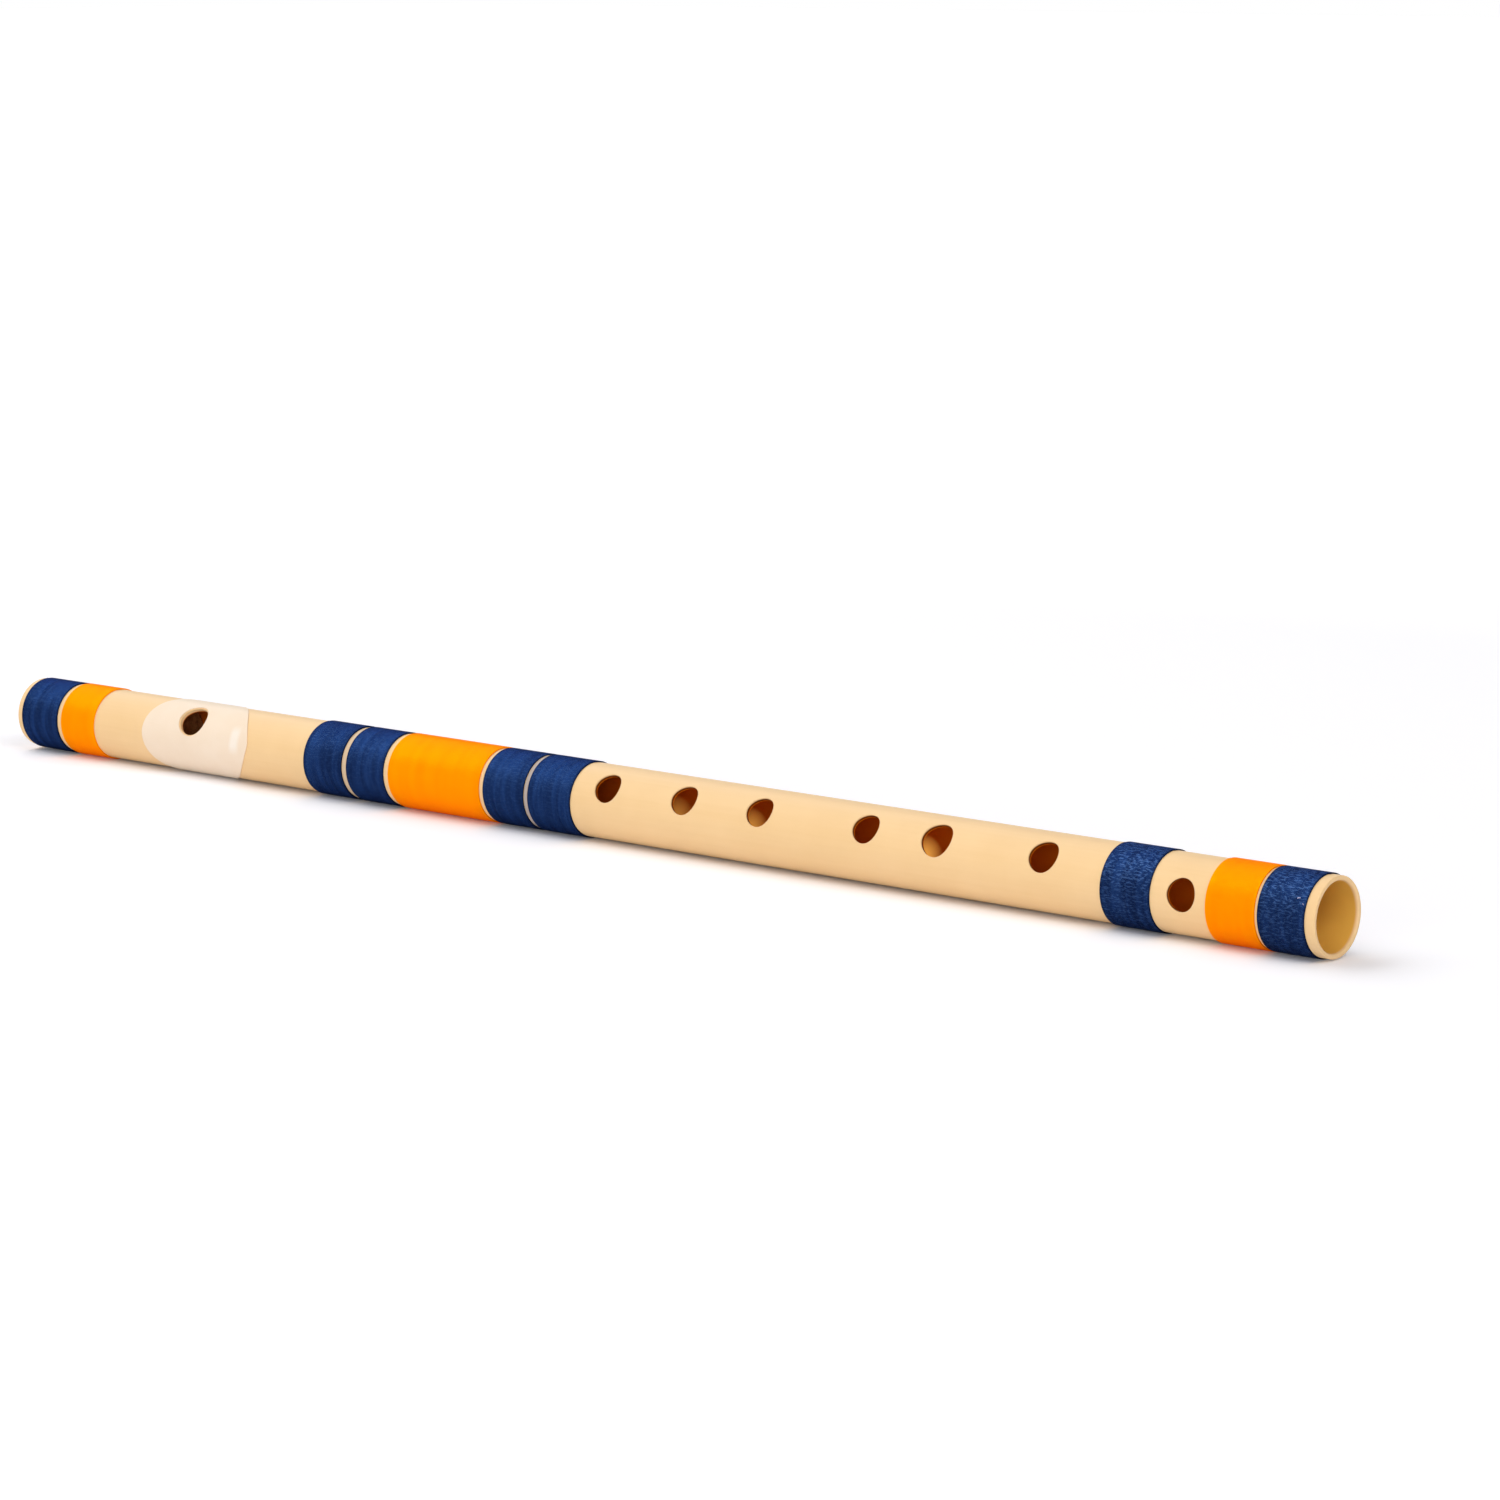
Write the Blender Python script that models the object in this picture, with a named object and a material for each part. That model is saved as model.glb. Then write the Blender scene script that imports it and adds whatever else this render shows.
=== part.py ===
"""A bansuri: a side-blown flute of one straight plastic pipe, bound with coloured thread.

The flute lies along X with its open end at +X and its blow end at -X, on the plane z = 0.
It is rolled so that its finger holes look up and towards -Y, as a player would see it lie.
Places along the pipe are counted from the open end, which is how a maker marks out the holes.
Angles round the pipe are counted from the top towards -Y.
"""
import math

import bmesh
import bpy
from mathutils import Vector

# The pipe
TUBE_RADIUS = 0.0111
TUBE_WALL = 0.0014
OUTER_END_ROUND = 0.0003
INNER_END_ROUND = 0.0006
TUBE_SIDES = 64

# The holes, each one's distance from the hole before it, starting at the open end
END_TO_VENT = 0.0426
VENT_TO_SIXTH = 0.0468
SIXTH_TO_FIFTH = 0.0368
FIFTH_TO_FOURTH = 0.0253
FOURTH_TO_THIRD = 0.0390
THIRD_TO_SECOND = 0.0286
SECOND_TO_FIRST = 0.0298
FIRST_TO_BLOW_HOLE = 0.1776
BLOW_HOLE_TO_BLOW_END = 0.0815

VENT_DIAMETER = 0.0091
SIXTH_DIAMETER = 0.0094
FIFTH_DIAMETER = 0.0101
FOURTH_DIAMETER = 0.0089
THIRD_DIAMETER = 0.0091
SECOND_DIAMETER = 0.0092
FIRST_DIAMETER = 0.0092
BLOW_HOLE_LENGTH = 0.0108
BLOW_HOLE_WIDTH = 0.0097

FINGER_LINE_ANGLE = math.radians(54.5)
VENT_ANGLE = math.radians(79.5)
BLOW_HOLE_ANGLE = math.radians(50.5)

HOLE_EASE = 0.0003
HOLE_SIDES = 32
EASE_STEPS = 3

# The stopper in the bore beyond the blow hole, which the maker slides to tune the flute
STOPPER_SETBACK = 0.0140
STOPPER_LENGTH = 0.0200
STOPPER_CHAMFER = 0.0010
STOPPER_CLEARANCE = 0.0001

# The lip pad, a thin sheet cut by hand and laid round the blow hole, longest along the pipe.
# Its roundness is 2 for an ellipse, and less where its outline is drawn to more of a point.
PAD_HALF_LENGTH = 0.0242
PAD_HALF_WRAP = 0.0215
PAD_BLOW_END_ROUNDNESS = 1.8
PAD_OPEN_END_ROUNDNESS = 1.5
PAD_SHIFT = 0.0028
PAD_TURN = math.radians(27.5)
PAD_THICKNESS = 0.0003
PAD_CLEARANCE = 0.00005
PAD_HOLE_MARGIN = 0.0001

# The thread bindings, from the open end to the blow end. They are wound by hand, so those of
# the middle group are not quite alike.
FOOT_RIM = 0.0029
FOOT_BLUE_WIDTH = 0.0149
FOOT_GAP = 0.0007
FOOT_ORANGE_WIDTH = 0.0158
VENT_TO_LOWER_BLUE = 0.0096
LOWER_BLUE_WIDTH = 0.0165
FIRST_HOLE_TO_MIDDLE_GROUP = 0.0128
MIDDLE_BLUE_1_WIDTH = 0.0173
MIDDLE_BLUE_2_WIDTH = 0.0168
MIDDLE_ORANGE_WIDTH = 0.0384
MIDDLE_BLUE_3_WIDTH = 0.0162
MIDDLE_BLUE_4_WIDTH = 0.0168
MIDDLE_LOWER_GAP = 0.0015
MIDDLE_UPPER_GAP = 0.0019
HEAD_RIM = 0.0023
HEAD_BLUE_WIDTH = 0.0173
HEAD_GAP = 0.0018
HEAD_ORANGE_WIDTH = 0.0159

BLUE_RISE = 0.00040
ORANGE_RISE = 0.00045
BINDING_CLEARANCE = 0.00005
SHOULDER_ROUND = 0.00025
SHOULDER_STEPS = 2
BINDING_SIDES = 32

# Worked out from the sizes above
BORE_RADIUS = TUBE_RADIUS - TUBE_WALL
AXIS_HEIGHT = TUBE_RADIUS + ORANGE_RISE
VENT_AT = END_TO_VENT
SIXTH_AT = VENT_AT + VENT_TO_SIXTH
FIFTH_AT = SIXTH_AT + SIXTH_TO_FIFTH
FOURTH_AT = FIFTH_AT + FIFTH_TO_FOURTH
THIRD_AT = FOURTH_AT + FOURTH_TO_THIRD
SECOND_AT = THIRD_AT + THIRD_TO_SECOND
FIRST_AT = SECOND_AT + SECOND_TO_FIRST
BLOW_HOLE_AT = FIRST_AT + FIRST_TO_BLOW_HOLE
TUBE_LENGTH = BLOW_HOLE_AT + BLOW_HOLE_TO_BLOW_END

CREAM = (0.93, 0.72, 0.42, 1.0)
BLUE = (0.013, 0.040, 0.150, 1.0)
ORANGE = (1.0, 0.33, 0.005, 1.0)
PAD_WHITE = (0.93, 0.82, 0.70, 1.0)
CORK_BROWN = (0.45, 0.27, 0.13, 1.0)


def remove_old_objects():
    for old in list(bpy.data.objects):
        bpy.data.objects.remove(old, do_unlink=True)


def plain_material(name, colour, roughness, metallic=0.0):
    material = bpy.data.materials.new(name)
    material.use_nodes = True
    shader = material.node_tree.nodes["Principled BSDF"]
    shader.inputs["Base Color"].default_value = colour
    shader.inputs["Roughness"].default_value = roughness
    shader.inputs["Metallic"].default_value = metallic
    return material


def along(distance_from_open_end):
    """X of a place on the pipe, from the pipe's middle."""
    return TUBE_LENGTH / 2 - distance_from_open_end


def add_object(name, bm, material, parent, x=0.0):
    """Close the mesh into an object on the pipe's axis at x."""
    bmesh.ops.recalc_face_normals(bm, faces=bm.faces)
    mesh = bpy.data.meshes.new(name)
    bm.to_mesh(mesh)
    bm.free()
    mesh.shade_smooth()
    mesh.set_sharp_from_angle(angle=math.radians(35))
    obj = bpy.data.objects.new(name, mesh)
    if material is not None:
        mesh.materials.append(material)
    bpy.context.scene.collection.objects.link(obj)
    obj.parent = parent
    obj.location.x = x
    return obj


def turn(profile, sides, closed):
    """Turn (x, radius) points about the X axis, with a flat side facing straight down.

    A closed profile makes a ring, and an open one is capped flat at both ends.
    """
    bm = bmesh.new()
    start = math.pi / sides
    points = [bm.verts.new((x, r * math.sin(start), r * math.cos(start))) for x, r in profile]
    edges = [bm.edges.new(pair) for pair in zip(points, points[1:])]
    if closed:
        edges.append(bm.edges.new((points[-1], points[0])))
    bmesh.ops.spin(
        bm, geom=points + edges, cent=(0, 0, 0), axis=(1, 0, 0),
        angle=2 * math.pi, steps=sides, use_merge=True, use_duplicate=False,
    )
    bmesh.ops.remove_doubles(bm, verts=bm.verts, dist=1e-7)
    if not closed:
        bmesh.ops.holes_fill(bm, edges=[edge for edge in bm.edges if edge.is_boundary], sides=0)
    return bm


def quarter_round(corner, size, start_angle, steps):
    """Points of a quarter circle that rounds a corner, its centre given as corner."""
    x, r = corner
    for step in range(steps + 1):
        angle = start_angle + math.pi / 2 * step / steps
        yield x + size * math.cos(angle), r + size * math.sin(angle)


def tube_profile():
    """Section of the pipe wall, with the edges of both ends eased by sanding."""
    half = TUBE_LENGTH / 2
    outer = TUBE_RADIUS - OUTER_END_ROUND
    inner = BORE_RADIUS + INNER_END_ROUND
    quarter = math.pi / 2
    section = []
    section += quarter_round((half - OUTER_END_ROUND, outer), OUTER_END_ROUND, 0, EASE_STEPS)
    section += quarter_round((-half + OUTER_END_ROUND, outer), OUTER_END_ROUND, quarter, EASE_STEPS)
    section += quarter_round((-half + INNER_END_ROUND, inner), INNER_END_ROUND, 2 * quarter, EASE_STEPS)
    section += quarter_round((half - INNER_END_ROUND, inner), INNER_END_ROUND, 3 * quarter, EASE_STEPS)
    return section


def hole_plug(length, width, ease):
    """A plug shaped like a drilled hole whose rim is eased to follow the round of the pipe.

    The plug stands on +Z. Its wall is straight through the pipe's wall, and its top flares out
    in a quarter round that keeps the same depth below the pipe's surface all the way round.
    """
    bottom = BORE_RADIUS * 0.5
    overshoot = TUBE_WALL
    last_angle = math.radians(78)

    def surface_height(across):
        return math.sqrt(TUBE_RADIUS ** 2 - across ** 2)

    def ring(bm, flare, depth):
        verts = []
        for side in range(HOLE_SIDES):
            angle = 2 * math.pi * (side + 0.5) / HOLE_SIDES
            x = (length / 2 + flare) * math.cos(angle)
            across = (width / 2 + flare) * math.sin(angle)
            z = bottom if depth is None else surface_height(across) - depth
            verts.append(bm.verts.new((x, across, z)))
        return verts

    bm = bmesh.new()
    rings = [ring(bm, 0.0, None)]
    for step in range(EASE_STEPS + 1):
        angle = last_angle * step / EASE_STEPS
        rings.append(ring(bm, ease * (1 - math.cos(angle)), ease * (1 - math.sin(angle))))
    rings.append(ring(bm, ease, -overshoot))
    for low, high in zip(rings, rings[1:]):
        for side in range(HOLE_SIDES):
            after = (side + 1) % HOLE_SIDES
            bm.faces.new((low[side], low[after], high[after], high[side]))
    bm.faces.new(reversed(rings[0]))
    bm.faces.new(rings[-1])
    return bm


def cut_hole(target, name, at, angle, length, width, ease, parent):
    """Cut one hole in target with a plug that is turned to the hole's own angle."""
    plug = add_object(name, hole_plug(length, width, ease), None, parent, along(at))
    plug.rotation_euler.x = angle
    plug.hide_render = True
    plug.display_type = "WIRE"
    cut = target.modifiers.new(name, "BOOLEAN")
    cut.operation = "DIFFERENCE"
    cut.solver = "EXACT"
    cut.object = plug


def build_tube(parent):
    tube = add_object("tube", turn(tube_profile(), TUBE_SIDES, True),
                      plain_material("cream_pipe", CREAM, 0.3), parent)
    finger_holes = (
        ("first", FIRST_AT, FIRST_DIAMETER),
        ("second", SECOND_AT, SECOND_DIAMETER),
        ("third", THIRD_AT, THIRD_DIAMETER),
        ("fourth", FOURTH_AT, FOURTH_DIAMETER),
        ("fifth", FIFTH_AT, FIFTH_DIAMETER),
        ("sixth", SIXTH_AT, SIXTH_DIAMETER),
    )
    for name, at, diameter in finger_holes:
        cut_hole(tube, name + "_hole_cutter", at, FINGER_LINE_ANGLE, diameter, diameter,
                 HOLE_EASE, parent)
    cut_hole(tube, "vent_hole_cutter", VENT_AT, VENT_ANGLE, VENT_DIAMETER, VENT_DIAMETER,
             HOLE_EASE, parent)
    cut_hole(tube, "blow_hole_cutter", BLOW_HOLE_AT, BLOW_HOLE_ANGLE, BLOW_HOLE_LENGTH,
             BLOW_HOLE_WIDTH, HOLE_EASE, parent)
    return tube


def build_stopper(parent):
    """The cork, its origin in its middle, on the axis that it slides along."""
    half = STOPPER_LENGTH / 2
    radius = BORE_RADIUS - STOPPER_CLEARANCE
    profile = (
        (-half, radius - STOPPER_CHAMFER),
        (-half + STOPPER_CHAMFER, radius),
        (half - STOPPER_CHAMFER, radius),
        (half, radius - STOPPER_CHAMFER),
    )
    middle_at = BLOW_HOLE_AT + STOPPER_SETBACK + half
    return add_object("stopper", turn(profile, TUBE_SIDES, False),
                      plain_material("cork", CORK_BROWN, 0.85), parent, along(middle_at))


def pad_reach(wrap, roundness):
    """Half the pad's length where its outline lies wrap away from its middle, round the pipe."""
    share = min(abs(wrap) / PAD_HALF_WRAP, 1.0)
    return PAD_HALF_LENGTH * (1 - share ** roundness) ** (1 / roundness)


def build_lip_pad(parent):
    """A sheet that lies on the pipe's own flat sides and is cut out round the blow hole."""
    seat_radius = TUBE_RADIUS + PAD_CLEARANCE
    middle_angle = BLOW_HOLE_ANGLE + PAD_TURN
    side_angle = 2 * math.pi / TUBE_SIDES
    half_angle = PAD_HALF_WRAP / TUBE_RADIUS
    first = math.ceil((middle_angle - half_angle) / side_angle - 0.5)
    last = math.floor((middle_angle + half_angle) / side_angle - 0.5)
    bm = bmesh.new()
    rows = []
    for corner in range(first, last + 1):
        angle = (corner + 0.5) * side_angle
        wrap = (angle - middle_angle) * TUBE_RADIUS
        y = -seat_radius * math.sin(angle)
        z = seat_radius * math.cos(angle)
        blow_end = -pad_reach(wrap, PAD_BLOW_END_ROUNDNESS)
        open_end = pad_reach(wrap, PAD_OPEN_END_ROUNDNESS)
        rows.append([bm.verts.new((x, y, z)) for x in (blow_end, open_end)])
    for before, after in zip(rows, rows[1:]):
        bm.faces.new((before[0], before[1], after[1], after[0]))
    at = BLOW_HOLE_AT - PAD_SHIFT
    pad = add_object("lip_pad", bm, plain_material("pad_sheet", PAD_WHITE, 0.25), parent, along(at))
    thickness = pad.modifiers.new("thickness", "SOLIDIFY")
    thickness.thickness = PAD_THICKNESS
    thickness.offset = 1.0
    thickness.use_even_offset = True
    margin = 2 * (HOLE_EASE + PAD_HOLE_MARGIN)
    cut_hole(pad, "pad_hole_cutter", BLOW_HOLE_AT, BLOW_HOLE_ANGLE, BLOW_HOLE_LENGTH + margin,
             BLOW_HOLE_WIDTH + margin, 0.0, parent)
    return pad


def build_binding(name, start, width, rise, material, parent):
    """One closely wound thread binding, from start to start + width, with rounded shoulders."""
    to_corner = 1 / math.cos(math.pi / BINDING_SIDES)
    inner = (TUBE_RADIUS + BINDING_CLEARANCE) * to_corner
    outer = (TUBE_RADIUS + rise) * to_corner
    half = width / 2
    edge = half - SHOULDER_ROUND
    shoulder = outer - SHOULDER_ROUND
    profile = [(-half, inner), (half, inner)]
    profile += quarter_round((edge, shoulder), SHOULDER_ROUND, 0, SHOULDER_STEPS)
    profile += quarter_round((-edge, shoulder), SHOULDER_ROUND, math.pi / 2, SHOULDER_STEPS)
    return add_object(name, turn(profile, BINDING_SIDES, True), material, parent,
                      along(start + half))


def build_bindings(parent):
    blue = plain_material("blue_thread", BLUE, 0.55)
    orange = plain_material("orange_thread", ORANGE, 0.4)

    def group(start, gap, pieces):
        """Wind bindings with a gap after each, and say where the next one would start."""
        for name, width, rise, material in pieces:
            build_binding(name, start, width, rise, material, parent)
            start += width + gap
        return start

    group(FOOT_RIM, FOOT_GAP, (
        ("foot_blue_binding", FOOT_BLUE_WIDTH, BLUE_RISE, blue),
        ("foot_orange_binding", FOOT_ORANGE_WIDTH, ORANGE_RISE, orange),
    ))
    group(VENT_AT + VENT_TO_LOWER_BLUE, 0.0, (
        ("lower_blue_binding", LOWER_BLUE_WIDTH, BLUE_RISE, blue),
    ))
    upper_start = group(FIRST_AT + FIRST_HOLE_TO_MIDDLE_GROUP, MIDDLE_LOWER_GAP, (
        ("middle_blue_binding_1", MIDDLE_BLUE_1_WIDTH, BLUE_RISE, blue),
        ("middle_blue_binding_2", MIDDLE_BLUE_2_WIDTH, BLUE_RISE, blue),
    ))
    group(upper_start, MIDDLE_UPPER_GAP, (
        ("middle_orange_binding", MIDDLE_ORANGE_WIDTH, ORANGE_RISE, orange),
        ("middle_blue_binding_3", MIDDLE_BLUE_3_WIDTH, BLUE_RISE, blue),
        ("middle_blue_binding_4", MIDDLE_BLUE_4_WIDTH, BLUE_RISE, blue),
    ))
    head_start = TUBE_LENGTH - HEAD_RIM - HEAD_BLUE_WIDTH - HEAD_GAP - HEAD_ORANGE_WIDTH
    group(head_start, HEAD_GAP, (
        ("head_orange_binding", HEAD_ORANGE_WIDTH, ORANGE_RISE, orange),
        ("head_blue_binding", HEAD_BLUE_WIDTH, BLUE_RISE, blue),
    ))


def main():
    remove_old_objects()
    axis = bpy.data.objects.new("flute_axis", None)
    bpy.context.scene.collection.objects.link(axis)
    axis.location = Vector((0.0, 0.0, AXIS_HEIGHT))
    build_tube(axis)
    build_stopper(axis)
    build_lip_pad(axis)
    build_bindings(axis)


main()
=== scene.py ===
"""The looks of a bansuri: a cream pipe flute with a milky lip pad and wound thread bindings."""
import math

import bmesh
import bpy
from mathutils import Matrix, Vector


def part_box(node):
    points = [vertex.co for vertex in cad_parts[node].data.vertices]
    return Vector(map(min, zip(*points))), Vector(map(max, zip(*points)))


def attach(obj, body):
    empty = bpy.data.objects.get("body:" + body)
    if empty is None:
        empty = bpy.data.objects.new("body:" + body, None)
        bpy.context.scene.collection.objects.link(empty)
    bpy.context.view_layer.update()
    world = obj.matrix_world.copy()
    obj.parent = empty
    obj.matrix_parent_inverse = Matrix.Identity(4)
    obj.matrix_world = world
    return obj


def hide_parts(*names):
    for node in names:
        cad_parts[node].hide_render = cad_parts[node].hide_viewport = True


MM = 0.001
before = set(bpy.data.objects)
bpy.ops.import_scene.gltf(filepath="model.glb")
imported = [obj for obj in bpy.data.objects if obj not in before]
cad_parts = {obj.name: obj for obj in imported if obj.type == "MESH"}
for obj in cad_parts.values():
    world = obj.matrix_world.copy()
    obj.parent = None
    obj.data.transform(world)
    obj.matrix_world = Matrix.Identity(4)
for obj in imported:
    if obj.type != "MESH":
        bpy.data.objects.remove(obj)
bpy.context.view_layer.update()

# The pipe and its holes, as the solids have them
TUBE_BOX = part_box("tube")
OPEN_END = TUBE_BOX[1].x
BLOW_END = TUBE_BOX[0].x
TUBE_RADIUS = 11.1 * MM
TUBE_WALL = 1.4 * MM
BORE_RADIUS = TUBE_RADIUS - TUBE_WALL
AXIS_HEIGHT = (TUBE_BOX[0].z + TUBE_BOX[1].z) / 2
OUTER_END_ROUND = 0.3 * MM
INNER_END_ROUND = 0.6 * MM
HOLE_EASE = 0.3 * MM
FINGER_LINE_ANGLE = math.radians(54.5)
VENT_ANGLE = math.radians(79.5)
BLOW_HOLE_ANGLE = math.radians(50.5)
BLOW_HOLE_AT = 426.5 * MM
BLOW_HOLE_SIZE = (10.8 * MM, 9.7 * MM)

# Each hole: place from the open end, angle from the top towards -Y, length and width
HOLES = (
    (42.6 * MM, VENT_ANGLE, 9.1 * MM, 9.1 * MM),
    (89.4 * MM, FINGER_LINE_ANGLE, 9.4 * MM, 9.4 * MM),
    (126.2 * MM, FINGER_LINE_ANGLE, 10.1 * MM, 10.1 * MM),
    (151.5 * MM, FINGER_LINE_ANGLE, 8.9 * MM, 8.9 * MM),
    (190.5 * MM, FINGER_LINE_ANGLE, 9.1 * MM, 9.1 * MM),
    (219.1 * MM, FINGER_LINE_ANGLE, 9.2 * MM, 9.2 * MM),
    (248.9 * MM, FINGER_LINE_ANGLE, 9.2 * MM, 9.2 * MM),
    (BLOW_HOLE_AT, BLOW_HOLE_ANGLE, *BLOW_HOLE_SIZE),
)

# Inside of the pipe: how deep below the skin the golden of the ends and the painted shade of the
# finger-hole walls start and are full, how far in the ends are golden, and the gaps between blue bindings
# that get a painted shade, with how much
INSIDE_DEPTHS = (0.32 * MM, 0.55 * MM)
GOLDEN_MOUTH = (20 * MM, 30 * MM)
GOLDEN_HEAD_CAVITY = (195 * MM, 203 * MM)
SHADED_GAPS = ((279.0 * MM, 280.5 * MM, 0.7), (355.3 * MM, 357.2 * MM, 0.32))

# Holes beyond which a painted patch of light glows on the bore's far wall, and how brightly.
# Each painted glow is a round spot that lies beyond its hole and below the axis.
GLOWING_HOLES = ((126.2 * MM, 0.58), (190.5 * MM, 0.37), (219.1 * MM, 0.25))
GLOW_BEYOND = 18.5 * MM
GLOW_BELOW_AXIS = 3.5 * MM
GLOW_SPREAD = (1.5 * MM, 6.4 * MM)

# The lip pad, whose outline is a little more pointed towards the open end
PAD_MIDDLE_AT = 423.7 * MM
PAD_MIDDLE_ANGLE = math.radians(78.0)
PAD_HALF_LENGTH = 24.2 * MM
PAD_HALF_WRAP = 21.5 * MM
PAD_BLOW_END_ROUNDNESS = 1.8
PAD_OPEN_END_ROUNDNESS = 1.5
PAD_HOLE_MARGIN = 0.1 * MM
PAD_THICKNESS = 0.3 * MM
PAD_GAP = 0.01 * MM
# A painted highlight on the sheet: a small pale patch near its open-end edge
PAD_HIGHLIGHT_AT = (404.5 * MM, 406.5 * MM)
PAD_HIGHLIGHT_ANGLES = (math.radians(62), math.radians(84))

# The bindings: name, place of the edge nearer the open end, and width
BLUE_BINDINGS = (
    ("foot_blue", 2.9 * MM, 14.9 * MM),
    ("lower_blue", 52.2 * MM, 16.5 * MM),
    ("middle_blue_1", 261.7 * MM, 17.3 * MM),
    ("middle_blue_2", 280.5 * MM, 16.8 * MM),
    ("middle_blue_3", 339.1 * MM, 16.2 * MM),
    ("middle_blue_4", 357.2 * MM, 16.8 * MM),
    ("head_blue", 488.4 * MM, 17.3 * MM),
)
ORANGE_BINDINGS = (
    ("foot_orange", 18.5 * MM, 15.8 * MM),
    ("middle_orange", 298.8 * MM, 38.4 * MM),
    ("head_orange", 470.7 * MM, 15.9 * MM),
)

# The thread
THREAD = 0.27 * MM
BLUE_RISE = 0.40 * MM
ORANGE_RISE = 0.45 * MM
THREAD_DEPTH = 0.085 * MM
# Half round of one turn of thread: share of the pitch, share of the height
THREAD_ROUND = ((0.0, 0.0), (0.17, 0.62), (0.5, 1.0), (0.83, 0.62), (1.0, 0.0))

# Each curl of the frayed end: place, angle, radius of the curl, thickness and lean
THREAD_END = (
    (5.7 * MM, math.radians(59), 0.34 * MM, 0.13 * MM, math.radians(25)),
    (3.9 * MM, math.radians(66), 0.22 * MM, 0.09 * MM, math.radians(-50)),
)

# Camera: where it stands, which way it looks, and its lens
MOUTH = Vector((OPEN_END, 0.0, AXIS_HEIGHT))
CAMERA_PLACE = MOUTH + Vector((663.4, -1012.7, 252.7)) * MM
CAMERA_LOOK = Vector((-0.639935, 0.749171, -0.170954))
CAMERA_LENS = 112.88


class Maths:
    """A shader socket that Python's operators turn into Math nodes."""

    def __init__(self, tree, socket):
        self.tree = tree
        self.socket = socket

    def _math(self, operation, first, second=None):
        node = self.tree.nodes.new("ShaderNodeMath")
        node.operation = operation
        for place, value in enumerate((first, second)):
            if isinstance(value, Maths):
                self.tree.links.new(value.socket, node.inputs[place])
            elif value is not None:
                node.inputs[place].default_value = value
        return Maths(self.tree, node.outputs[0])

    def __add__(self, other):
        return self._math("ADD", self, other)

    def __radd__(self, other):
        return self._math("ADD", other, self)

    def __sub__(self, other):
        return self._math("SUBTRACT", self, other)

    def __rsub__(self, other):
        return self._math("SUBTRACT", other, self)

    def __mul__(self, other):
        return self._math("MULTIPLY", self, other)

    def __rmul__(self, other):
        return self._math("MULTIPLY", other, self)

    def __truediv__(self, other):
        return self._math("DIVIDE", self, other)

    def apply(self, operation, other=None):
        return self._math(operation, self, other)


class Finish:
    """A Principled material and the means to add any node to it."""

    def __init__(self, name, colour, roughness, **fixed):
        self.material = bpy.data.materials.new(name)
        self.material.use_nodes = True
        self.tree = self.material.node_tree
        self.shader = self.tree.nodes["Principled BSDF"]
        self.shader.inputs["Base Color"].default_value = (*colour, 1.0)
        self.shader.inputs["Roughness"].default_value = roughness
        for socket, value in fixed.items():
            self.shader.inputs[socket.replace("_", " ")].default_value = value

    def node(self, kind, settings=None, **values):
        node = self.tree.nodes.new(kind)
        for setting, value in (settings or {}).items():
            setattr(node, setting, value)
        for name, value in values.items():
            socket = node.inputs[name.replace("_", " ")]
            if isinstance(value, Maths):
                self.tree.links.new(value.socket, socket)
            elif isinstance(value, bpy.types.NodeSocket):
                self.tree.links.new(value, socket)
            else:
                socket.default_value = value
        return node

    def coordinates(self):
        return self.node("ShaderNodeTexCoord").outputs["Object"]

    def axes(self):
        split = self.node("ShaderNodeSeparateXYZ", Vector=self.coordinates())
        return [Maths(self.tree, split.outputs[axis]) for axis in "XYZ"]

    def round_the_pipe(self):
        """Place along the pipe, angle round it from the top towards -Y, and distance from its axis."""
        x, y, z = self.axes()
        up = z - AXIS_HEIGHT
        around = (0 - y).apply("ARCTAN2", up)
        return x, around, (y * y + up * up).apply("SQRT")

    def noise(self, scale, detail=2.0, stretch=None, place=None, distortion=0.0):
        place = place or self.coordinates()
        if stretch is not None:
            place = self.node("ShaderNodeMapping", Vector=place, Scale=stretch).outputs[0]
        made = self.node("ShaderNodeTexNoise", Vector=place, Scale=scale, Detail=detail,
                         Distortion=distortion)
        return Maths(self.tree, made.outputs[0])

    def blend(self, amount, first, second):
        node = self.node("ShaderNodeMix", {"data_type": "RGBA"})
        for socket, value in ((node.inputs[0], amount), (node.inputs[6], first),
                              (node.inputs[7], second)):
            if isinstance(value, Maths):
                self.tree.links.new(value.socket, socket)
            elif isinstance(value, bpy.types.NodeSocket):
                self.tree.links.new(value, socket)
            elif isinstance(value, tuple):
                socket.default_value = (*value, 1.0)
            else:
                socket.default_value = value
        return node.outputs[2]

    def ramp(self, value, stops):
        node = self.node("ShaderNodeValToRGB")
        node.color_ramp.elements[0].position = stops[0][0]
        node.color_ramp.elements[0].color = (*stops[0][1], 1.0)
        node.color_ramp.elements[1].position = stops[-1][0]
        node.color_ramp.elements[1].color = (*stops[-1][1], 1.0)
        for place, colour in stops[1:-1]:
            node.color_ramp.elements.new(place).color = (*colour, 1.0)
        self.tree.links.new(value.socket, node.inputs[0])
        return node.outputs[0]

    def clamped(self, value, low, high):
        node = self.node("ShaderNodeMapRange", {"clamp": True}, Value=value)
        node.inputs[1].default_value = low
        node.inputs[2].default_value = high
        return Maths(self.tree, node.outputs[0])

    def between(self, value, low, high, soft):
        """One where value is from low to high, and fading to nothing within soft outside them."""
        return self.clamped(value, low - soft, low) * (1 - self.clamped(value, high, high + soft))

    def bump(self, height, distance, strength=1.0):
        node = self.node("ShaderNodeBump", Strength=strength, Distance=distance, Height=height)
        self.tree.links.new(node.outputs[0], self.shader.inputs["Normal"])

    def feed(self, socket, value):
        source = value.socket if isinstance(value, Maths) else value
        self.tree.links.new(source, self.shader.inputs[socket])


def along(distance):
    """X of a place that lies distance from the open end."""
    return OPEN_END - distance


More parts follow.
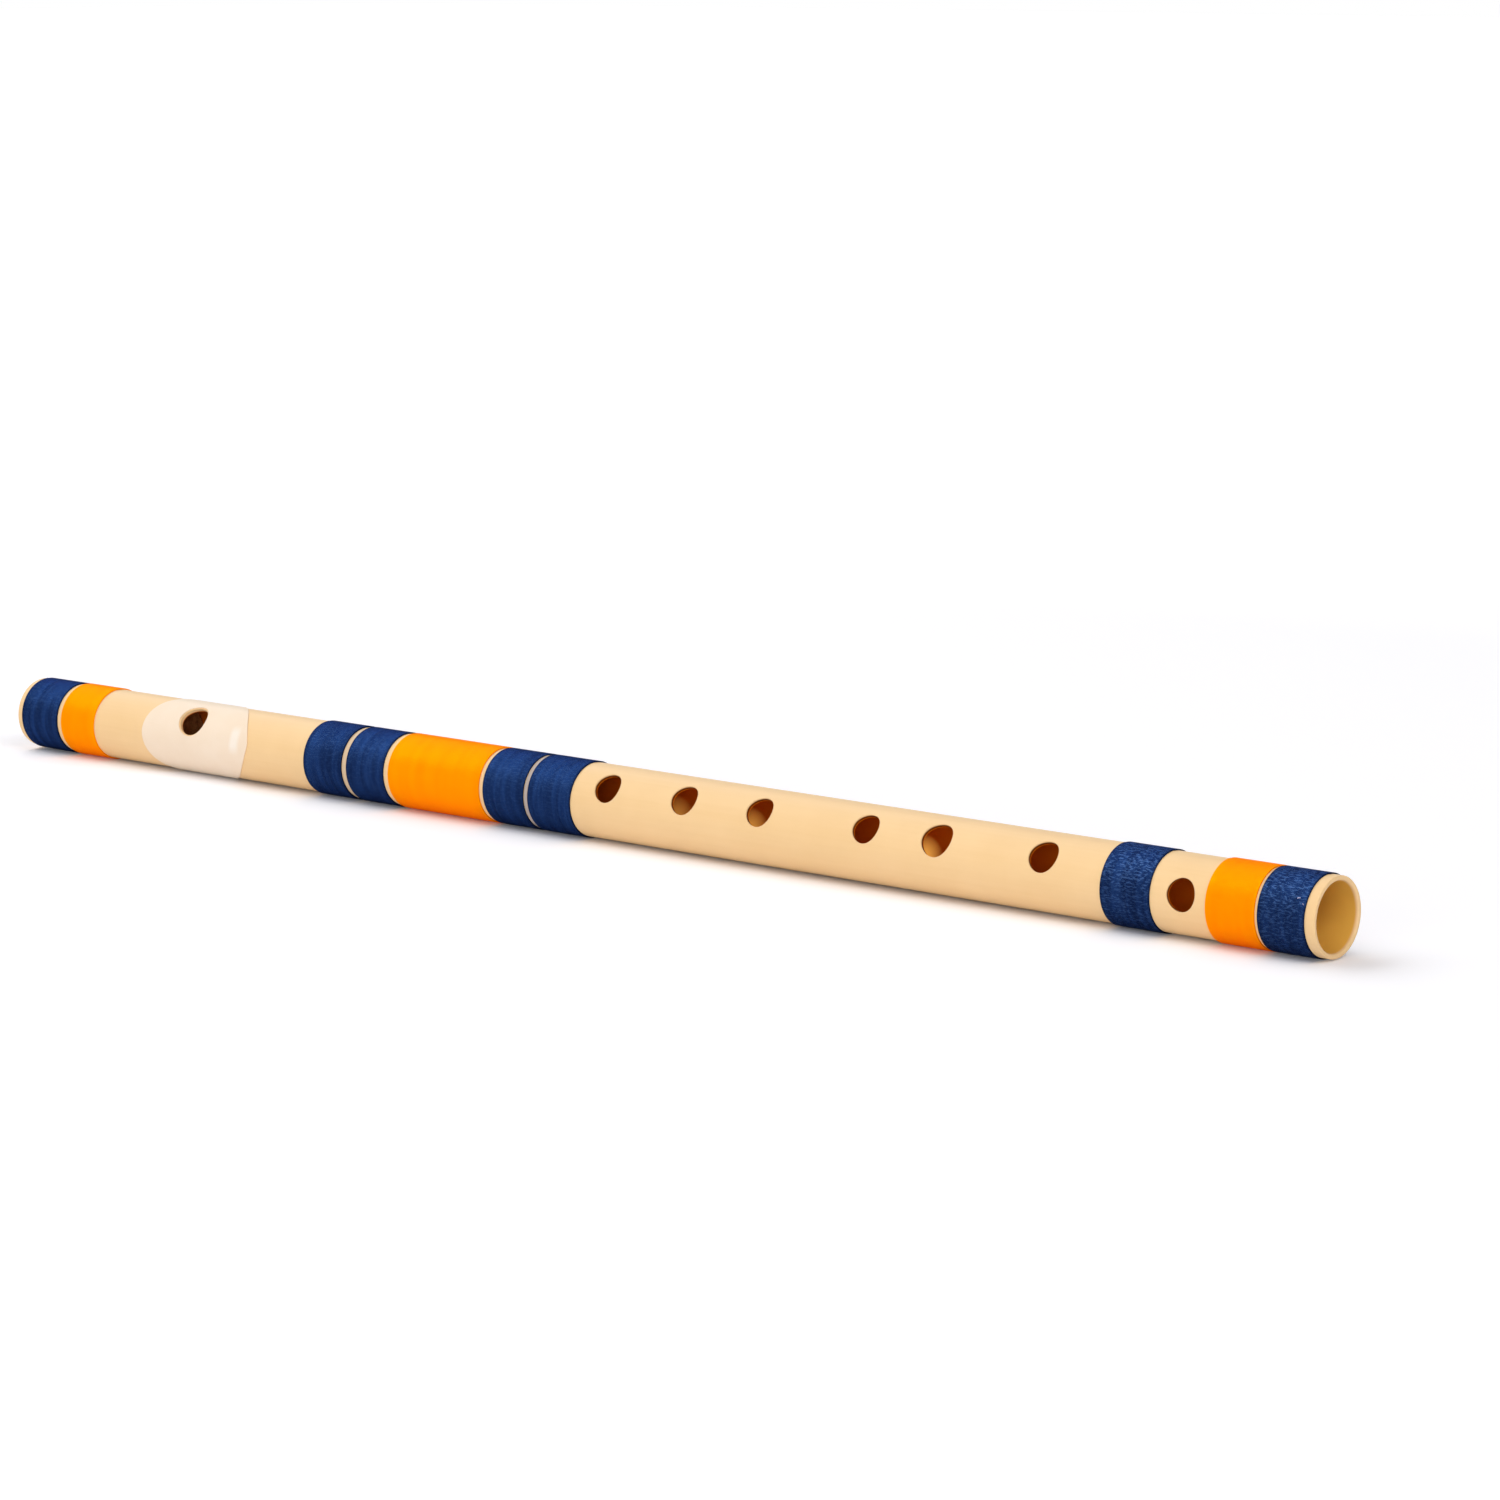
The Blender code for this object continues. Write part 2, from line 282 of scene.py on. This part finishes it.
def finished(name, bm, material, body, node=None, sharp=35.0):
    """Make the mesh a piece that rides on a body, in its place and with outward faces."""
    bmesh.ops.recalc_face_normals(bm, faces=bm.faces)
    mesh = bpy.data.meshes.new(name)
    bm.to_mesh(mesh)
    bm.free()
    mesh.shade_smooth()
    mesh.set_sharp_from_angle(angle=math.radians(sharp))
    mesh.materials.append(material)
    piece = bpy.data.objects.new(name, mesh)
    bpy.context.scene.collection.objects.link(piece)
    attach(piece, body)
    if node is not None:
        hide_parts(node)
    return piece


def turned(profile, sides, closed=True, creep=0.0):
    """Turn (x, radius) points about the pipe's axis; creep moves them along it per full turn.

    A closed profile makes a ring, and an open one is left open at both ends.
    """
    bm = bmesh.new()
    points = [bm.verts.new((x, 0.0, AXIS_HEIGHT + radius)) for x, radius in profile]
    edges = [bm.edges.new(pair) for pair in zip(points, points[1:])]
    if closed:
        edges.append(bm.edges.new((points[-1], points[0])))
    bmesh.ops.spin(
        bm, geom=points + edges, cent=(0, 0, AXIS_HEIGHT), axis=(1, 0, 0),
        dvec=(creep / sides, 0, 0), angle=2 * math.pi, steps=sides,
        use_merge=creep == 0.0, use_duplicate=False,
    )
    bmesh.ops.remove_doubles(bm, verts=bm.verts, dist=1e-6)
    return bm


def quarter_round(x, radius, size, start, steps):
    """Points of an eased edge, a quarter turn from start degrees."""
    for step in range(steps + 1):
        angle = math.radians(start + 90 * step / steps)
        yield x + size * math.cos(angle), radius + size * math.sin(angle)


def tube_section(steps=5):
    """The cut face of the pipe's wall, its four edges eased."""
    outer = TUBE_RADIUS - OUTER_END_ROUND
    inner = BORE_RADIUS + INNER_END_ROUND
    return [
        *quarter_round(OPEN_END - OUTER_END_ROUND, outer, OUTER_END_ROUND, 0, steps),
        *quarter_round(BLOW_END + OUTER_END_ROUND, outer, OUTER_END_ROUND, 90, steps),
        *quarter_round(BLOW_END + INNER_END_ROUND, inner, INNER_END_ROUND, 180, steps),
        *quarter_round(OPEN_END - INNER_END_ROUND, inner, INNER_END_ROUND, 270, steps),
    ]


def hole_plug(bm, at, angle, length, width, sides=64, steps=6):
    """Add the shape that a drilled hole takes away, its rim eased along the saddle of the skin."""
    levels = [(0.0, None)]
    for step in range(steps + 1):
        lean = math.radians(78) * step / steps
        levels.append((HOLE_EASE * (1 - math.cos(lean)), HOLE_EASE * (1 - math.sin(lean))))
    levels.append((HOLE_EASE, -TUBE_WALL))
    plug = []
    rims = []
    for flare, depth in levels:
        verts = bmesh.ops.create_circle(bm, cap_ends=False, segments=sides, radius=1.0)["verts"]
        for vert in verts:
            vert.co.x *= length / 2 + flare
            vert.co.y *= width / 2 + flare
            skin = math.sqrt(TUBE_RADIUS ** 2 - vert.co.y ** 2)
            vert.co.z = BORE_RADIUS / 2 if depth is None else skin - depth
        plug += verts
        rims.append(list({edge for vert in verts for edge in vert.link_edges}))
    for low, high in zip(rims, rims[1:]):
        bmesh.ops.bridge_loops(bm, edges=low + high)
    bmesh.ops.holes_fill(bm, edges=rims[0] + rims[-1], sides=0)
    bmesh.ops.rotate(bm, verts=plug, cent=(0, 0, 0), matrix=Matrix.Rotation(angle, 3, "X"))
    bmesh.ops.translate(bm, verts=plug, vec=(along(at), 0, AXIS_HEIGHT))


def drilled(bm, plugs):
    """The mesh of bm with the plugs cut out of it."""
    objects = []
    for name, source in (("blank", bm), ("plugs", plugs)):
        bmesh.ops.recalc_face_normals(source, faces=source.faces)
        mesh = bpy.data.meshes.new(name)
        source.to_mesh(mesh)
        source.free()
        objects.append(bpy.data.objects.new(name, mesh))
        bpy.context.scene.collection.objects.link(objects[-1])
    blank, cutter = objects
    cut = blank.modifiers.new("holes", "BOOLEAN")
    cut.operation = "DIFFERENCE"
    cut.solver = "EXACT"
    cut.object = cutter
    shape = blank.evaluated_get(bpy.context.evaluated_depsgraph_get())
    result = bmesh.new()
    result.from_mesh(shape.data)
    for used in objects:
        bpy.data.meshes.remove(used.data)
    return result


def build_pipe(material):
    """The pipe, turned with rings beside each hole, then drilled."""
    section = tube_section()
    outer_line = []
    for at, angle, length, width in HOLES:
        for side in (-1, 1):
            outer_line.append((along(at + side * (length / 2 + 1.5 * MM)), TUBE_RADIUS))
    outer_line.sort(reverse=True)
    section[6:6] = outer_line
    plugs = bmesh.new()
    for hole in HOLES:
        hole_plug(plugs, *hole)
    bm = drilled(turned(section, 192), plugs)
    pipe = finished("pipe", bm, material, "flute", "tube", 40)
    even = pipe.modifiers.new("even_shading", "WEIGHTED_NORMAL")
    even.keep_sharp = True
    return pipe


def build_binding(name, start, width, rise, material, node, steps=120):
    """A binding of real thread: one long helix, its turns side by side, closed onto the pipe."""
    count = round(width / THREAD)
    pitch = width / count
    crest = TUBE_RADIUS + rise
    first = along(start + width)
    section = [(first + share * pitch, crest - (1 - lift) * THREAD_DEPTH)
               for share, lift in THREAD_ROUND]
    bm = turned(section, steps, False, pitch)
    turn = bm.verts[:] + bm.edges[:] + bm.faces[:]
    for copy in range(1, count - 1):
        made = bmesh.ops.duplicate(bm, geom=turn)["geom"]
        verts = [item for item in made if isinstance(item, bmesh.types.BMVert)]
        bmesh.ops.translate(bm, verts=verts, vec=(copy * pitch, 0, 0))
    bmesh.ops.remove_doubles(bm, verts=bm.verts, dist=1e-6)
    middle = along(start + width / 2)
    loops = [edge for edge in bm.edges if edge.is_boundary]
    for outward, radius in ((0.05 * MM, crest - 0.18 * MM), (0.0, TUBE_RADIUS + 0.03 * MM)):
        made = bmesh.ops.extrude_edge_only(bm, edges=loops)["geom"]
        foot = {item for item in made if isinstance(item, bmesh.types.BMVert)}
        for vert in foot:
            out = Vector((0, vert.co.y, vert.co.z - AXIS_HEIGHT)).normalized() * radius
            shift = math.copysign(outward, vert.co.x - middle)
            vert.co = Vector((vert.co.x + shift, out.y, out.z + AXIS_HEIGHT))
        loops = [item for item in made if isinstance(item, bmesh.types.BMEdge)
                 and item.verts[0] in foot and item.verts[1] in foot]
    bmesh.ops.bridge_loops(bm, edges=loops)
    to_edge = bm.verts.layers.float.new("to_edge")
    for vert in bm.verts:
        vert[to_edge] = (width / 2 - abs(vert.co.x - middle)) / MM
    return finished(name, bm, material, "flute", node, 75)


def build_thread_end(material, sides=8):
    """The frayed end of the foot binding's thread: two short curls that stand off the last turns."""
    bm = bmesh.new()
    for at, angle, curl, thickness, lean in THREAD_END:
        verts = bmesh.ops.create_circle(bm, cap_ends=True, segments=sides, radius=thickness)["verts"]
        bmesh.ops.translate(bm, verts=verts, vec=(curl, 0, 0))
        start = verts + [edge for edge in bm.edges if edge.verts[0] in verts]
        start += [face for face in bm.faces if face.verts[0] in verts]
        before = set(bm.verts) - set(verts)
        bmesh.ops.spin(bm, geom=start, cent=(0, 0, 0), axis=(0, 1, 0), angle=math.radians(-150),
                       steps=10, use_duplicate=False)
        made = [vert for vert in bm.verts if vert not in before]
        bmesh.ops.rotate(bm, verts=made, cent=(0, 0, 0), matrix=Matrix.Rotation(lean, 3, "Z"))
        bmesh.ops.translate(bm, verts=made, vec=(along(at), 0, TUBE_RADIUS + BLUE_RISE - 0.05 * MM))
        bmesh.ops.rotate(bm, verts=made, cent=(0, 0, 0), matrix=Matrix.Rotation(angle, 3, "X"))
        bmesh.ops.translate(bm, verts=made, vec=(0, 0, AXIS_HEIGHT))
    bmesh.ops.remove_doubles(bm, verts=bm.verts, dist=1e-6)
    return finished("thread_end", bm, material, "flute")


def build_pad(material):
    """The lip pad: a flat sheet with its hole, then rolled onto the pipe and given its thickness."""
    bm = bmesh.new()
    sides = 120
    hole_shift = Vector((PAD_MIDDLE_AT - BLOW_HOLE_AT, 0))
    margin = HOLE_EASE + PAD_HOLE_MARGIN
    loops = []
    for is_hole in (True, False):
        verts = bmesh.ops.create_circle(bm, cap_ends=False, segments=sides, radius=1.0)["verts"]
        for vert in verts:
            turn = math.atan2(vert.co.y, vert.co.x)
            if is_hole:
                across = (BLOW_HOLE_SIZE[1] / 2 + margin) * math.sin(turn)
                vert.co.x = hole_shift.x + (BLOW_HOLE_SIZE[0] / 2 + margin) * math.cos(turn)
                vert.co.y = (BLOW_HOLE_ANGLE - PAD_MIDDLE_ANGLE) * TUBE_RADIUS
                vert.co.y += TUBE_RADIUS * math.asin(across / TUBE_RADIUS)
            else:
                roundness = PAD_OPEN_END_ROUNDNESS if vert.co.x > 0 else PAD_BLOW_END_ROUNDNESS
                for axis, half in ((0, PAD_HALF_LENGTH), (1, PAD_HALF_WRAP)):
                    wave = (math.cos(turn), math.sin(turn))[axis]
                    vert.co[axis] = math.copysign(half * abs(wave) ** (2 / roundness), wave)
        loops.append(verts)
    rims = bm.edges[:]
    bmesh.ops.bridge_loops(bm, edges=rims)
    spokes = [edge for edge in bm.edges if edge not in set(rims)]
    bmesh.ops.subdivide_edges(bm, edges=spokes, cuts=24, use_grid_fill=True)
    reach = TUBE_RADIUS + PAD_GAP
    for vert in bm.verts:
        angle = PAD_MIDDLE_ANGLE + vert.co.y / TUBE_RADIUS
        x = along(PAD_MIDDLE_AT) + vert.co.x
        vert.co = Vector((x, -reach * math.sin(angle), AXIS_HEIGHT + reach * math.cos(angle)))
    bmesh.ops.recalc_face_normals(bm, faces=bm.faces)
    face = bm.faces[:][0]
    middle = face.calc_center_median()
    if face.normal.dot(Vector((0, middle.y, middle.z - AXIS_HEIGHT))) < 0:
        bmesh.ops.reverse_faces(bm, faces=bm.faces)
    mesh = bpy.data.meshes.new("lip_sheet")
    bm.to_mesh(mesh)
    bm.free()
    mesh.shade_smooth()
    mesh.materials.append(material)
    pad = bpy.data.objects.new("lip_sheet", mesh)
    bpy.context.scene.collection.objects.link(pad)
    sheet = pad.modifiers.new("thickness", "SOLIDIFY")
    sheet.thickness = PAD_THICKNESS
    sheet.offset = 1.0
    soft = pad.modifiers.new("soft_edge", "BEVEL")
    soft.width = 0.1 * MM
    soft.segments = 3
    soft.limit_method = "ANGLE"
    soft.angle_limit = math.radians(60)
    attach(pad, "flute")
    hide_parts("lip_pad")
    return pad


def cream_finish():
    """Satin cream plastic, golden inside its ends, with painted shade inside the holes and the bore,
    painted shade in two gaps between bindings, and painted light glowing on the bore's far wall.
    """
    finish = Finish("cream_pipe", (0.895, 0.61, 0.31), 0.34, Specular_IOR_Level=0.12)
    mottle = finish.noise(60, 3)
    drawn = finish.noise(900, 2, (0.02, 1, 1))
    fine = finish.noise(2500, 2)
    x, _, radius = finish.round_the_pipe()
    y, z = finish.axes()[1:]
    inside_starts, inside_full = INSIDE_DEPTHS
    below_skin = 1 - finish.clamped(radius, TUBE_RADIUS - inside_full, TUBE_RADIUS - inside_starts)
    in_bore = 1 - finish.clamped(radius, BORE_RADIUS + 0.10 * MM, BORE_RADIUS + 0.30 * MM)
    in_mouth = finish.clamped(x, OPEN_END - GOLDEN_MOUTH[1], OPEN_END - GOLDEN_MOUTH[0])
    in_mouth = in_mouth + finish.clamped(0 - x, *GOLDEN_HEAD_CAVITY)
    past_end_face = 1 - finish.clamped(x.apply("ABSOLUTE"), OPEN_END - 2 * INNER_END_ROUND,
                                       OPEN_END - INNER_END_ROUND)
    at_finger_holes = finish.clamped(x, along(410 * MM), along(400 * MM))
    cream = finish.blend(finish.clamped(mottle * 0.7 + drawn * 0.3, 0.35, 0.65),
                         (0.875, 0.59, 0.295), (0.91, 0.625, 0.325))
    golden = finish.blend(below_skin * in_mouth * past_end_face, cream, (0.81, 0.455, 0.08))
    # Painted shade: below the skin, the finger holes' walls go near black
    hole_walls = finish.blend(below_skin * (1 - in_mouth) * at_finger_holes, golden,
                              (0.19, 0.043, 0.0035))
    # Painted shade: the bore's inside, away from the golden ends, is a deep red
    inside = finish.blend(in_bore * (1 - in_mouth), hole_walls, (0.82, 0.18, 0.005))
    # Painted shade in the narrow gaps between two pairs of blue bindings, greying the cream
    gap_shade = 0.0
    for start, end, amount in SHADED_GAPS:
        gap_shade = finish.between(x, along(end), along(start), 0.1 * MM) * amount + gap_shade
    finish.feed("Base Color", finish.blend(gap_shade, inside, (0.30, 0.30, 0.36)))
    # Painted light: an emitted glowing spot on the bore's far wall beyond each of three holes
    below = z - (AXIS_HEIGHT - GLOW_BELOW_AXIS)
    glow = 0.0
    for at, brightness in GLOWING_HOLES:
        beyond = x - (along(at) - GLOW_BEYOND)
        spot = 1 - finish.clamped((beyond * beyond + below * below).apply("SQRT"), *GLOW_SPREAD)
        glow = spot * brightness + glow
    glow = glow * in_bore * finish.clamped(y, 0.0, 2.0 * MM)
    finish.shader.inputs["Emission Strength"].default_value = 1.0
    finish.feed("Emission Color", finish.blend(glow, (0.0, 0.0, 0.0), (1.0, 0.48, 0.085)))
    finish.feed("Roughness", finish.clamped(mottle, 0.3, 0.7) * 0.08 + 0.30 + drawn * 0.06)
    finish.bump(drawn * 0.6 + fine * 0.2, 0.00004, 0.35)
    return finish.material


def thread_finish(name, deep, shown, bright, roughness, metal, rise, relief, painted_light, **fixed):
    """Wound thread: painted shade between its turns, with the twist of its plies as short bright dashes,
    brighter on the upper side as a painted highlight.

    Where asked for, painted shade darkens the binding's ends and side walls, and a painted sheen lightens
    the upper side.
    """
    finish = Finish(name, shown, roughness, Metallic=metal, Specular_IOR_Level=0.03,
                    Specular_Tint=(*shown, 1.0), **fixed)
    x, around, radius = finish.round_the_pipe()
    skein = finish.node("ShaderNodeCombineXYZ", X=x, Y=around * TUBE_RADIUS).outputs[0]
    top = TUBE_RADIUS + rise
    crest = finish.clamped(radius, top - THREAD_DEPTH, top)
    # Painted shade, where asked for: the side walls of each binding and its last turns towards each end go
    # dark
    side_walls = 1 - finish.clamped(radius, top - 3 * THREAD_DEPTH, top - THREAD_DEPTH)
    to_edge = finish.node("ShaderNodeAttribute", {"attribute_name": "to_edge"}).outputs["Fac"]
    last_turns = 1 - finish.clamped(Maths(finish.tree, to_edge), 0.2, 0.9)
    turns = finish.noise(1500, 2, (1, 0.02, 0.02), place=skein)
    swathes = finish.clamped(finish.noise(420, 2, (1, 0.10, 0.10), place=skein), 0.36, 0.64)
    twist = finish.noise(1600, 2, (0.40, 1.5, 1), place=skein, distortion=0.8)
    coarse = finish.clamped(x, along(150 * MM), along(70 * MM)) * 0.7 + 0.3
    # The upper side, which gets painted light: a painted sheen where asked for, and brighter dashes
    upper = 1 - finish.clamped(around.apply("ABSOLUTE"), math.radians(50), math.radians(85))
    # Dashes: the twist of the plies, made brighter on the upper side by a painted highlight
    dashes = finish.clamped(twist, 0.50, 0.60) * crest * coarse * (upper * 0.58 + 0.4)
    # Tone: painted shade in the grooves between turns, random tone from turn to turn and in swathes, and,
    # where asked for, a painted sheen on the upper side
    tone = finish.clamped(crest * 0.5 + turns + swathes * 0.7 - coarse * 0.38 - 0.55
                          + upper * (0.4 * painted_light), 0.0, 1.4)
    wound = finish.blend(tone, deep, shown)
    lit = finish.blend(dashes, wound, bright)
    # Painted shade on the binding's last turns and side walls, where asked for
    shaded = finish.blend(last_turns.apply("MAXIMUM", side_walls) * (0.55 * painted_light), lit,
                          tuple(0.25 * share for share in deep))
    finish.feed("Base Color", shaded)
    finish.feed("Roughness", turns * 0.15 + (roughness - 0.075))
    finish.bump(twist * coarse + finish.noise(6000, 2) * 0.1, relief, 1.0)
    return finish.material


def frayed_finish():
    """Pale frayed fibres of the blue thread."""
    finish = Finish("frayed_thread", (0.50, 0.48, 0.66), 0.6, Specular_IOR_Level=0.2)
    fibres = finish.noise(9000, 2)
    streaks = finish.blend(finish.clamped(fibres, 0.35, 0.65), (0.36, 0.35, 0.58), (0.62, 0.60, 0.76))
    finish.feed("Base Color", streaks)
    finish.bump(fibres, 0.00003, 0.5)
    return finish.material


def pad_finish():
    """Milky sheet, cloudy in itself, with a painted highlight as a paler patch near its open-end edge."""
    finish = Finish("pad_sheet", (0.91, 0.745, 0.57), 0.32, Specular_IOR_Level=0.06)
    cloud = finish.noise(130, 3)
    fine = finish.noise(1500, 2)
    x, around, _ = finish.round_the_pipe()
    milky = finish.blend(finish.clamped(cloud, 0.35, 0.7), (0.905, 0.735, 0.56), (0.92, 0.76, 0.595))
    # Painted highlight: the paler patch between these places and angles
    pad_highlight = finish.between(x, along(PAD_HIGHLIGHT_AT[1]), along(PAD_HIGHLIGHT_AT[0]), 1.5 * MM)
    pad_highlight = pad_highlight * finish.between(around, *PAD_HIGHLIGHT_ANGLES, math.radians(14))
    finish.feed("Base Color", finish.blend(pad_highlight * 0.7, milky, (0.96, 0.88, 0.78)))
    finish.feed("Roughness", cloud * 0.1 + 0.25)
    finish.bump(cloud + fine * 0.1, 0.00004, 0.4)
    return finish.material


def cork_finish():
    """Plain cork, mottled and pitted."""
    finish = Finish("cork", (0.45, 0.27, 0.13), 0.85)
    grain = finish.noise(700, 4)
    pits = finish.noise(2600, 2)
    tone = finish.ramp(grain * 0.7 + pits * 0.3,
                       ((0.36, (0.20, 0.09, 0.02)), (0.5, (0.30, 0.15, 0.045)), (0.68, (0.40, 0.22, 0.08))))
    finish.feed("Base Color", tone)
    finish.bump(pits, 0.0003, 0.8)
    return finish.material


def floor_finish():
    """White paper that keeps the flute's shadow, deepened by a painted shadow along its line of contact."""
    finish = Finish("paper_floor", (0.895, 0.887, 0.925), 0.9)
    grain = finish.noise(400, 2)
    finish.feed("Roughness", grain * 0.1 + 0.85)
    output = finish.tree.nodes["Material Output"]
    seen = finish.node("ShaderNodeLightPath")
    x, y, _ = finish.axes()
    away = finish.clamped((x * x + y * y).apply("SQRT"), 0.5, 2.5)
    # Painted shadow: along the flute's line, within 15 mm of it and between its ends, the paper's added
    # white is held back
    beside = finish.clamped(y.apply("ABSOLUTE"), 1.0 * MM, 15.0 * MM)
    past_the_ends = finish.clamped(x.apply("ABSOLUTE"), OPEN_END - 8 * MM, OPEN_END + 4 * MM)
    beside = beside.apply("MAXIMUM", past_the_ends)
    white = finish.node("ShaderNodeEmission", Strength=away * 0.79 + beside * 0.21)
    black = finish.node("ShaderNodeEmission", Strength=0.0)
    direct = Maths(finish.tree, seen.outputs["Is Camera Ray"])
    glossy = Maths(finish.tree, seen.outputs["Is Glossy Ray"])
    through = Maths(finish.tree, seen.outputs["Is Transmission Ray"])
    looked_at = direct.apply("MAXIMUM", glossy).apply("MAXIMUM", through)
    glow = finish.node("ShaderNodeMixShader", Fac=looked_at)
    finish.tree.links.new(black.outputs[0], glow.inputs[1])
    finish.tree.links.new(white.outputs[0], glow.inputs[2])
    both = finish.node("ShaderNodeAddShader")
    finish.tree.links.new(finish.shader.outputs[0], both.inputs[0])
    finish.tree.links.new(glow.outputs[0], both.inputs[1])
    finish.tree.links.new(both.outputs[0], output.inputs["Surface"])
    return finish.material


def build_floor():
    bm = bmesh.new()
    bmesh.ops.create_grid(bm, x_segments=2, y_segments=2, size=12.0)
    mesh = bpy.data.meshes.new("floor")
    bm.to_mesh(mesh)
    bm.free()
    mesh.materials.append(floor_finish())
    floor = bpy.data.objects.new("floor", mesh)
    bpy.context.scene.collection.objects.link(floor)


def soft_light(name, place, size, radiance, mirrored):
    """A panel of light that faces the flute; mirrored says whether it shows in sheens."""
    light = bpy.data.lights.new(name, "AREA")
    light.shape = "RECTANGLE"
    light.size, light.size_y = size
    light.energy = radiance * math.pi * size[0] * size[1]
    lamp = bpy.data.objects.new(name, light)
    lamp.location = place
    lamp.rotation_euler = (-Vector(place)).to_track_quat("-Z", "Y").to_euler()
    lamp.visible_glossy = mirrored
    bpy.context.scene.collection.objects.link(lamp)


def light_studio(fill=0.24):
    """An even tent of light, a strip over the flute for the thread's sheen, and two soft panels."""
    world = bpy.data.worlds.new("studio")
    world.use_nodes = True
    bpy.context.scene.world = world
    tree = world.node_tree
    background = tree.nodes["Background"]
    seen = tree.nodes.new("ShaderNodeLightPath")
    direct = Maths(tree, seen.outputs["Is Camera Ray"])
    glossy = Maths(tree, seen.outputs["Is Glossy Ray"])
    through = Maths(tree, seen.outputs["Is Transmission Ray"])
    looked_at = direct.apply("MAXIMUM", glossy).apply("MAXIMUM", through)
    strength = looked_at * (1.0 - fill) + fill
    background.inputs["Color"].default_value = (1, 1, 1, 1)
    tree.links.new(strength.socket, background.inputs["Strength"])
    soft_light("top_strip", (-2.9, -0.3, 3.1), (6.4, 3.0), 2.25, True)
    soft_light("low_front", (1.4, -3.2, 0.70), (3.6, 1.4), 3.3, False)
    soft_light("open_end_side", (2.8, -0.8, 2.6), (2.4, 1.6), 3.9, False)


def place_camera():
    data = bpy.data.cameras.new("camera")
    data.sensor_width = 36.0
    data.lens = CAMERA_LENS
    data.clip_start = 0.01
    data.clip_end = 100.0
    camera = bpy.data.objects.new("camera", data)
    camera.location = CAMERA_PLACE
    camera.rotation_euler = CAMERA_LOOK.to_track_quat("-Z", "Y").to_euler()
    bpy.context.scene.collection.objects.link(camera)
    bpy.context.scene.camera = camera


bpy.context.scene.view_settings.view_transform = "Standard"
place_camera()
light_studio()
build_floor()
build_pipe(cream_finish())
build_pad(pad_finish())
build_thread_end(frayed_finish())
# The blue thread's last argument asks for painted light: painted shade at its bindings' ends and side walls
# and a painted sheen on its upper side
blue = thread_finish("blue_thread", (0.006, 0.017, 0.066), (0.017, 0.052, 0.182), (0.082, 0.172, 0.42),
                     0.33, 0.64, BLUE_RISE, 0.00012, 1.0)
# The orange thread asks for no painted light, but its faint red emission is a painted glow that keeps its
# red full in shade
orange = thread_finish("orange_thread", (0.96, 0.28, 0.0), (1.0, 0.35, 0.0), (1.0, 0.37, 0.0),
                       0.36, 0.70, ORANGE_RISE, 0.00002, 0.0,
                       Emission_Color=(1.0, 0.12, 0.0, 1.0), Emission_Strength=0.045)
for name, start, width in BLUE_BINDINGS:
    place, colour, *number = name.split("_")
    solid = "_".join([place, colour, "binding", *number])
    build_binding(name + "_winding", start, width, BLUE_RISE, blue, solid)
for name, start, width in ORANGE_BINDINGS:
    build_binding(name + "_winding", start, width, ORANGE_RISE, orange, name + "_binding")
cork = cork_finish()
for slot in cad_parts["stopper"].material_slots:
    slot.material = cork

bpy.context.view_layer.update()
